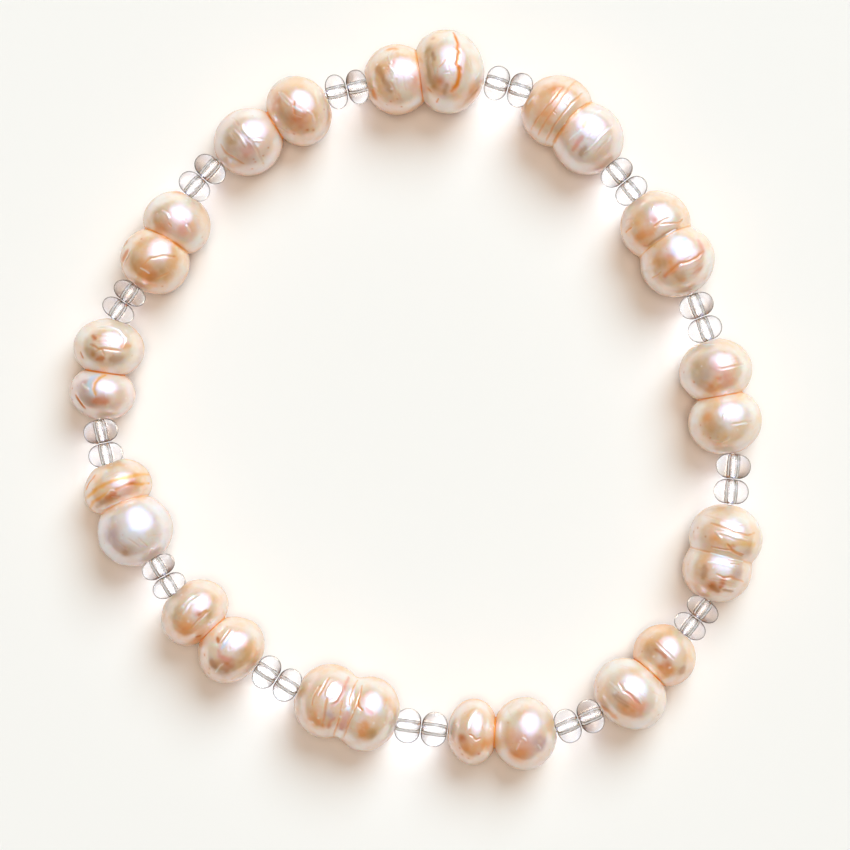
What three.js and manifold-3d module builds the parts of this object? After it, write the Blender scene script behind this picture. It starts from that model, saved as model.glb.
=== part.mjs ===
// Pearl anklet: thirteen twin-lobed pearls and thirteen pairs of clear glass beads,
// threaded in turn on one closed loop of elastic. Millimetres, +Z up. The anklet lies
// flat: both lobes of every pearl rest on z = 0, and the origin is below its middle.

import * as THREE from 'three';
import { mergeVertices } from 'three/addons/utils/BufferGeometryUtils.js';
import Module from 'manifold-3d';

const GLASS_DIAMETER = 4.2;
const GLASS_HOLE_DIAMETER = 1.05;
const GLASS_EDGE_RADIUS = 0.95;
const GLASS_GAP = 0.12;
const PEARL_HOLE_DIAMETER = 1.0;
const SEAT_CLEARANCE = 0.15;
const SEAT_DIAMETER = 4.4;
const THREAD_DIAMETER = 0.6;

const LOBE_SEGMENTS = 16;
const LOBE_RINGS = 10;
const HOLE_SIDES = 8;
const SEAT_SIDES = 12;
const GLASS_SEGMENTS = 12;
const GLASS_EDGE_STEPS = 2;
const THREAD_SIDES = 6;
const THREAD_STEPS = 156;

// Clockwise from the top of the loop, seen from above. A lobe is an ellipsoid:
// [x, y, diameter along the pearl, diameter across it].
const PEARLS = [
  { first: [-2.3, 38.5, 8.0, 8.5], second: [3.7, 39.4, 9.0, 10.1] },
  { first: [17.0, 34.6, 8.8, 8.8], second: [20.7, 31.3, 8.6, 8.6] },
  { first: [28.8, 20.9, 8.6, 8.6], second: [31.4, 16.6, 8.5, 9.1] },
  { first: [36.0, 3.5, 7.8, 8.9], second: [37.1, -2.6, 8.1, 8.9] },
  { first: [37.2, -16.6, 8.3, 8.9], second: [36.2, -20.4, 7.9, 8.4] },
  { first: [29.9, -30.7, 7.4, 7.7], second: [25.7, -35.3, 8.0, 9.3] },
  { first: [13.1, -40.1, 7.8, 8.7], second: [6.9, -39.9, 6.4, 8.0] },
  { first: [-5.9, -37.7, 8.0, 9.1], second: [-10.5, -36.2, 8.3, 9.0] },
  { first: [-22.1, -30.1, 7.2, 8.6], second: [-26.5, -25.6, 7.5, 8.8] },
  { first: [-33.7, -15.8, 8.4, 9.2], second: [-35.8, -10.7, 7.2, 8.4] },
  { first: [-37.7, 0.8, 6.5, 8.0], second: [-36.9, 6.2, 7.2, 8.6] },
  { first: [-31.4, 16.6, 7.7, 8.5], second: [-28.8, 21.1, 7.9, 8.3] },
  { first: [-20.2, 31.0, 8.4, 8.1], second: [-14.1, 34.7, 7.8, 8.7] },
];

// The glass pair after each pearl: the point between its two beads, the thread's
// heading there in degrees from +X, and the room that one bead takes on the thread.
const GLASS_PAIRS = [
  { x: 11.1, y: 37.6, heading: -17, pitch: 2.9 },
  { x: 25.0, y: 26.2, heading: -51, pitch: 2.8 },
  { x: 34.2, y: 9.9, heading: -70, pitch: 3.0 },
  { x: 38.0, y: -9.5, heading: -95, pitch: 3.05 },
  { x: 33.7, y: -26.2, heading: -127, pitch: 2.55 },
  { x: 19.6, y: -38.6, heading: -157, pitch: 3.0 },
  { x: 0.6, y: -39.4, heading: 172, pitch: 3.2 },
  { x: -16.7, y: -33.5, heading: 148, pitch: 2.95 },
  { x: -30.3, y: -21.2, heading: 120, pitch: 2.6 },
  { x: -37.6, y: -5.2, heading: 102, pitch: 2.9 },
  { x: -35.1, y: 11.8, heading: 56, pitch: 2.45 },
  { x: -25.7, y: 26.7, heading: 48, pitch: 2.8 },
  { x: -8.3, y: 37.3, heading: 13, pitch: 2.6 },
];

const PEARL_TINTS = [0xd9ab84, 0xe2ad8c, 0xd8ac92, 0xd9a88e, 0xcfa184, 0xd9a27f, 0xdba98a];
const GLASS_TINT = 0xe9eef0;
const THREAD_TINT = 0xf4f4f0;

const wasm = await Module();
wasm.setup();
const { Manifold, Mesh } = wasm;

const Y_AXIS = new THREE.Vector3(0, 1, 0);

function solidFrom(geometry) {
  const bare = geometry.clone();
  bare.deleteAttribute('normal');
  bare.deleteAttribute('uv');
  const merged = mergeVertices(bare, 1e-5);
  return new Manifold(new Mesh({
    numProp: 3,
    vertProperties: new Float32Array(merged.attributes.position.array),
    triVerts: new Uint32Array(merged.index.array),
  }));
}

function geometryFrom(solid) {
  const mesh = solid.getMesh();
  const geometry = new THREE.BufferGeometry();
  geometry.setAttribute('position', new THREE.BufferAttribute(mesh.vertProperties, 3));
  geometry.setIndex(new THREE.BufferAttribute(mesh.triVerts, 1));
  geometry.computeVertexNormals();
  return geometry;
}

const seatHeight = (lobeBefore, lobeAfter) => (lobeBefore[3] + lobeAfter[3]) / 4;

// Where each glass pair sits: its middle, its direction and the two pearl seats.
const pairs = GLASS_PAIRS.map((row, i) => {
  const next = PEARLS[(i + 1) % PEARLS.length];
  const height = seatHeight(PEARLS[i].second, next.first);
  const middle = new THREE.Vector3(row.x, row.y, height);
  const angle = THREE.MathUtils.degToRad(row.heading);
  const direction = new THREE.Vector3(Math.cos(angle), Math.sin(angle), 0);
  const reach = row.pitch + SEAT_CLEARANCE;
  return {
    middle,
    direction,
    pitch: row.pitch,
    start: middle.clone().addScaledVector(direction, -reach),
    end: middle.clone().addScaledVector(direction, reach),
  };
});

// An ellipsoid standing on z = 0, with its long or short axis along the pearl.
function lobe([x, y, along, across], pearlAngle) {
  const geometry = new THREE.SphereGeometry(0.5, LOBE_SEGMENTS, LOBE_RINGS);
  geometry.rotateZ(-Math.PI / 2);
  geometry.scale(along, across, across);
  geometry.rotateZ(pearlAngle);
  geometry.translate(x, y, across / 2);
  return solidFrom(geometry);
}

// The wear of a glass bead on a pearl's end: a flat as wide as the bead, whose sides
// open out at 45 degrees as they leave the pearl.
function seatCutter(seat, direction) {
  const depth = 3;
  const radius = SEAT_DIAMETER / 2;
  const geometry = new THREE.CylinderGeometry(radius + depth, radius, depth, SEAT_SIDES);
  geometry.translate(0, depth / 2, 0);
  geometry.applyQuaternion(new THREE.Quaternion().setFromUnitVectors(Y_AXIS, direction));
  geometry.translate(seat.x, seat.y, seat.z);
  return solidFrom(geometry);
}

// The drilled hole: a straight bore between the two seats, run a little past both.
function bore(from, to) {
  const overrun = 0.6;
  const span = to.clone().sub(from);
  const direction = span.clone().normalize();
  const radius = PEARL_HOLE_DIAMETER / 2;
  const length = span.length() + 2 * overrun;
  const geometry = new THREE.CylinderGeometry(radius, radius, length, HOLE_SIDES);
  geometry.applyQuaternion(new THREE.Quaternion().setFromUnitVectors(Y_AXIS, direction));
  const middle = from.clone().addScaledVector(span, 0.5);
  geometry.translate(middle.x, middle.y, middle.z);
  return solidFrom(geometry);
}

// Two lobes grown together, worn flat at the seats and drilled through.
function pearlGeometry(row, pairBefore, pairAfter) {
  const run = [row.second[0] - row.first[0], row.second[1] - row.first[1]];
  const pearlAngle = Math.atan2(run[1], run[0]);
  const body = lobe(row.first, pearlAngle)
    .add(lobe(row.second, pearlAngle))
    .subtract(seatCutter(pairBefore.end, pairBefore.direction.clone().negate()))
    .subtract(seatCutter(pairAfter.start, pairAfter.direction))
    .subtract(bore(pairBefore.end, pairAfter.start));
  return geometryFrom(body);
}

// A round-edged ring turned about Y. The profile closes on itself around the hole.
function glassGeometry(pitch) {
  const half = (pitch - GLASS_GAP) / 2;
  const outer = GLASS_DIAMETER / 2;
  const inner = GLASS_HOLE_DIAMETER / 2;
  const edge = Math.min(GLASS_EDGE_RADIUS, half * 0.85);
  const profile = [new THREE.Vector2(inner, -half)];
  for (const side of [-1, 1]) {
    for (let step = 0; step <= GLASS_EDGE_STEPS; step += 1) {
      const turn = (step / GLASS_EDGE_STEPS) * (Math.PI / 2);
      const angle = side < 0 ? turn - Math.PI / 2 : turn;
      profile.push(new THREE.Vector2(
        outer - edge + edge * Math.cos(angle),
        side * (half - edge) + edge * Math.sin(angle),
      ));
    }
  }
  profile.push(new THREE.Vector2(inner, half));
  profile.push(new THREE.Vector2(inner, -half));
  return new THREE.LatheGeometry(profile, GLASS_SEGMENTS);
}

// One loop through every hole: straight in each pair and each pearl.
function threadGeometry() {
  const stops = [];
  pairs.forEach((pair, i) => {
    const next = pairs[(i + 1) % pairs.length];
    stops.push(pair.start, pair.middle, pair.end);
    stops.push(pair.end.clone().lerp(next.start, 1 / 3));
    stops.push(pair.end.clone().lerp(next.start, 2 / 3));
  });
  const route = new THREE.CatmullRomCurve3(stops, true, 'centripetal');
  return new THREE.TubeGeometry(route, THREAD_STEPS, THREAD_DIAMETER / 2, THREAD_SIDES, true);
}

const anklet = new THREE.Group();
const beads = new THREE.Group();
anklet.add(beads);

PEARLS.forEach((row, i) => {
  const pairBefore = pairs[(i + pairs.length - 1) % pairs.length];
  const color = PEARL_TINTS[i % PEARL_TINTS.length];
  const material = new THREE.MeshStandardMaterial({ color, roughness: 0.25, metalness: 0 });
  const pearl = new THREE.Mesh(pearlGeometry(row, pairBefore, pairs[i]), material);
  pearl.name = `pearl_${String(i + 1).padStart(2, '0')}`;
  beads.add(pearl);
});

pairs.forEach((pair, i) => {
  for (const [letter, side] of [['a', -1], ['b', 1]]) {
    const material = new THREE.MeshStandardMaterial({
      color: GLASS_TINT,
      roughness: 0.05,
      metalness: 0,
      transparent: true,
      opacity: 0.45,
    });
    const glass = new THREE.Mesh(glassGeometry(pair.pitch), material);
    glass.name = `glass_bead_${String(i + 1).padStart(2, '0')}${letter}`;
    glass.quaternion.setFromUnitVectors(Y_AXIS, pair.direction);
    glass.position.copy(pair.middle).addScaledVector(pair.direction, (side * pair.pitch) / 2);
    beads.add(glass);
  }
});

const threadMaterial = new THREE.MeshStandardMaterial({
  color: THREAD_TINT,
  roughness: 0.3,
  metalness: 0,
});
const thread = new THREE.Mesh(threadGeometry(), threadMaterial);
thread.name = 'elastic_thread';
beads.add(thread);

// The origin goes below the middle of the loop, on the surface that it lies on.
const bounds = new THREE.Box3().setFromObject(beads);
const centre = bounds.getCenter(new THREE.Vector3());
beads.position.set(-centre.x, -centre.y, -bounds.min.z);

export default anklet;
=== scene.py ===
import math
from collections import namedtuple

import bpy
import numpy as np
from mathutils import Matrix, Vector


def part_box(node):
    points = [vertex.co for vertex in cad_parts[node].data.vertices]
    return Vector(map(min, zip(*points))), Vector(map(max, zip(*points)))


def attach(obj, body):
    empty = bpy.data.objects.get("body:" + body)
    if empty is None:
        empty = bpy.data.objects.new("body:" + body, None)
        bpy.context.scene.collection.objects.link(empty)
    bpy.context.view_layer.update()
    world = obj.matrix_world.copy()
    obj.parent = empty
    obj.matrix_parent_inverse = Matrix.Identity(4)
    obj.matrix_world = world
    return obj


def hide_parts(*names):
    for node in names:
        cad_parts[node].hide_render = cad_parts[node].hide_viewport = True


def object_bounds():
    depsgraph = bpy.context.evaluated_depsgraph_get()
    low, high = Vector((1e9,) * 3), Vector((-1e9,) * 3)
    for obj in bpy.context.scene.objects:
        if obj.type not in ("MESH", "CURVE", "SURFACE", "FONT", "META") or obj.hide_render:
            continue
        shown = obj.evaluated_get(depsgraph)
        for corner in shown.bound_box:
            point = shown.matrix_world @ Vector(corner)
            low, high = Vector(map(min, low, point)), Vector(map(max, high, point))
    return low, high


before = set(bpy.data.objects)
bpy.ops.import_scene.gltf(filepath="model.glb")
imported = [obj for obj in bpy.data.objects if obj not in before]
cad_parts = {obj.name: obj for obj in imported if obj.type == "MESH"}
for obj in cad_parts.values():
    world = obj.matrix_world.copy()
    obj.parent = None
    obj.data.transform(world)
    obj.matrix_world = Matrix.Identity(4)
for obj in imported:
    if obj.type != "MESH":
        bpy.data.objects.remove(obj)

MM = 0.001
UP = np.array([0.0, 0.0, 1.0])
cad_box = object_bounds()

# ---------------- driving values, in metres
PEARL_COUNT = 13
RING_POINTS = 192            # round a pearl
RING_CROWDING = 0.28         # how much closer they are on the upper side
PROFILE_RINGS = 156          # from one drilled end of a pearl to the other
WAIST_CROWDING = 1.2         # how much closer these are at the waist
WAIST_CROWDING_WIDTH = 0.7 * MM
PEARL_HOLE_RADIUS = 0.50 * MM
SWELL_SCALE = 3.6 * MM       # of the pearl's slow unevenness
SWELL_HEIGHT = 0.05 * MM
BOW_WIDTH = 1.7 * MM         # how much of a pearl swings with its bowed waist

SEAT_GAP = 0.06 * MM         # kept between a pearl and the glass bead that it sits on
SEAT_SHARE = 0.85            # how much of the glass bead's rounding the pearl follows
SEAT_REACH = 0.98            # how far out it does so, over the glass bead's radius
SEAT_BLEND = 0.30 * MM
NO_SEAT = 9 * MM             # a height that no part of a pearl reaches

GLASS_RING_POINTS = 64
GLASS_PROFILE_POINTS = 26
GLASS_ROUNDING = 2.05        # 2 is a half ellipse, more is squarer
GLASS_RIM = 0.05 * MM        # rounding where the outside meets the hole

THREAD_RADIUS = 0.30 * MM
THREAD_SIDES = 12
THREAD_STEP = 0.4 * MM
THREAD_EASING = 6            # rounds of smoothing where the thread turns

WAIST_LINE_WIDTH = 0.12 * MM
WAIST_LINE_DEPTH = 0.10 * MM
WAIST_GLOW_WIDTH = 0.55 * MM
HOLE_STAIN_RADIUS = 0.7 * MM
HOLE_STAIN_WIDTH = 0.35 * MM
HOLE_STAIN_DEPTH = 1.5 * MM  # how far in from the seat it can lie
UPPER_SLOPE = 0.05           # the least upward part of a normal on the upper side

MARK_WANDER = 0.06 * MM      # how far a drawn mark strays from its straight stretches
WANDER_SCALE = 0.9 * MM
PATCHY_SCALE = 0.55 * MM     # of the places where a mark is weaker
RAGGED_SCALE = 1.1 * MM      # of the places where a mark is wider
MARK_STEP = 0.7              # mm between the places where a drawn mark is set on the surface
MARK_SPREAD = 0.75           # how far a drawn mark fades out, over its width
SOFT_SPREAD = 1.35           # how much wider the soft patches are drawn
RAGGEDNESS = 0.3             # how much the width of a mark varies, over its width
LARGE_SPOT = 0.4             # mm: smaller spots stay round
SPOT_REACH = 3.0             # how far a spot is worked out, over its radius
LINE_REACH = 2.5             # how far a line is worked out, over its width
LINE_THINNEST = 0.7          # of its width, at its ends
RELIEF_START = 0.9           # mm above or below the middle, where the marks' relief begins
RELIEF_RISE = 1.8            # mm further to where it is whole

# The small marks of every pearl: how many, their style, and their least and largest size in mm.
SCATTERED = ((9, "hair", 0.09, 0.14), (14, "fleck", 0.06, 0.11), (3, "bead", 0.08, 0.11))
SCATTER_RADIUS = 3.9         # mm from the middle of a lobe, across the pearl
SCATTER_ALONG = 0.85         # of that, along it
SCATTER_LENGTHS = (0.5, 1.6)
SCATTER_LEAN = 0.35          # of the scratches, in radians

# Fine ridges: their spacing along, across and up the pearl, and their heights, in mm.
RIDGE_SPACING = np.array([0.75, 3.0, 3.0])
FINE_SPACING = np.array([0.60, 1.4, 1.4])
WAVE_SPACING = 1.4
PLACE_SPACING = 2.2          # of the places that have ridges
RIDGE_HEIGHT = 0.030
FINE_HEIGHT = 0.012
WAVE_HEIGHT = 0.016

# ---------------- the nacre's colours and marks
# Base colours, linear: where the nacre is pale, and where its clouds are deep.
TONES = {
    "white": ((0.88, 0.84, 0.83), (0.87, 0.74, 0.66)),
    "silver": ((0.90, 0.83, 0.77), (0.90, 0.70, 0.57)),
    "cream": ((0.91, 0.83, 0.74), (0.94, 0.67, 0.43)),
    "peach": ((0.91, 0.79, 0.67), (0.94, 0.61, 0.35)),
    "amber": ((0.91, 0.74, 0.56), (0.94, 0.55, 0.26)),
}

# How a mark is cut and coloured: depth into the nacre in mm (negative stands proud), how
# much of that its edges stand up, its linear colour and how far it covers.
Style = namedtuple("Style", "depth lip tint cover")
STYLES = {
    "crack": Style(0.10, 0.4, (0.86, 0.30, 0.04), 1.00),
    "waist": Style(0.00, 0.0, (0.95, 0.42, 0.08), 1.00),
    "groove": Style(0.11, 0.6, (0.86, 0.42, 0.14), 0.70),
    "stripe": Style(0.03, 0.2, (0.97, 0.50, 0.13), 0.95),
    "valley": Style(0.12, 0.2, (0.46, 0.27, 0.09), 0.74),
    "scratch": Style(0.07, 0.8, (0.80, 0.54, 0.38), 0.45),
    "hair": Style(0.05, 0.8, (0.84, 0.56, 0.38), 0.45),
    "fleck": Style(0.02, 0.3, (0.78, 0.38, 0.14), 0.65),
    # ridge: a raised line, tinted pale: partly painted highlight where it catches the light.
    "ridge": Style(-0.09, 0.6, (0.98, 0.90, 0.85), 0.60),
    # white: painted glints and highlights, on lines that stand slightly proud.
    "white": Style(-0.03, 0.3, (1.00, 0.98, 0.97), 0.90),
    "dent": Style(0.10, 0.3, (0.82, 0.42, 0.30), 0.60),
    # bead: a tiny raised dot with a painted glint.
    "bead": Style(-0.04, 0.2, (1.00, 0.95, 0.92), 0.80),
    "speck": Style(0.03, 0.5, (0.62, 0.17, 0.03), 0.85),
    "orange": Style(0.00, 0.0, (0.90, 0.38, 0.10), 0.75),
    "rust": Style(0.02, 0.3, (0.62, 0.19, 0.05), 0.82),
    # brown: dark brown patches and lines, partly real colour and partly painted dark reflection in
    # grooves.
    "brown": Style(0.02, 0.4, (0.42, 0.20, 0.08), 0.62),
    "olive": Style(0.00, 0.0, (0.46, 0.29, 0.11), 0.66),
    "pink": Style(0.01, 0.3, (0.80, 0.35, 0.27), 0.72),
    "lilac": Style(0.00, 0.0, (0.47, 0.36, 0.42), 0.75),
    "grey": Style(0.00, 0.0, (0.52, 0.46, 0.42), 0.55),
    "cyan": Style(0.00, 0.0, (0.62, 0.80, 0.98), 0.72),
    "yellow": Style(0.00, 0.0, (0.88, 0.52, 0.14), 0.60),
    "cream": Style(0.00, 0.0, (0.96, 0.84, 0.66), 0.65),
}
SEPARATE = ("bead", "speck", "fleck")     # each point of such a row is a spot of its own
SOFT = ("valley", "orange", "rust", "brown", "olive", "pink", "lilac", "grey", "cyan", "yellow",
        "cream")                 # patches in the nacre, which fade out widely

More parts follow.
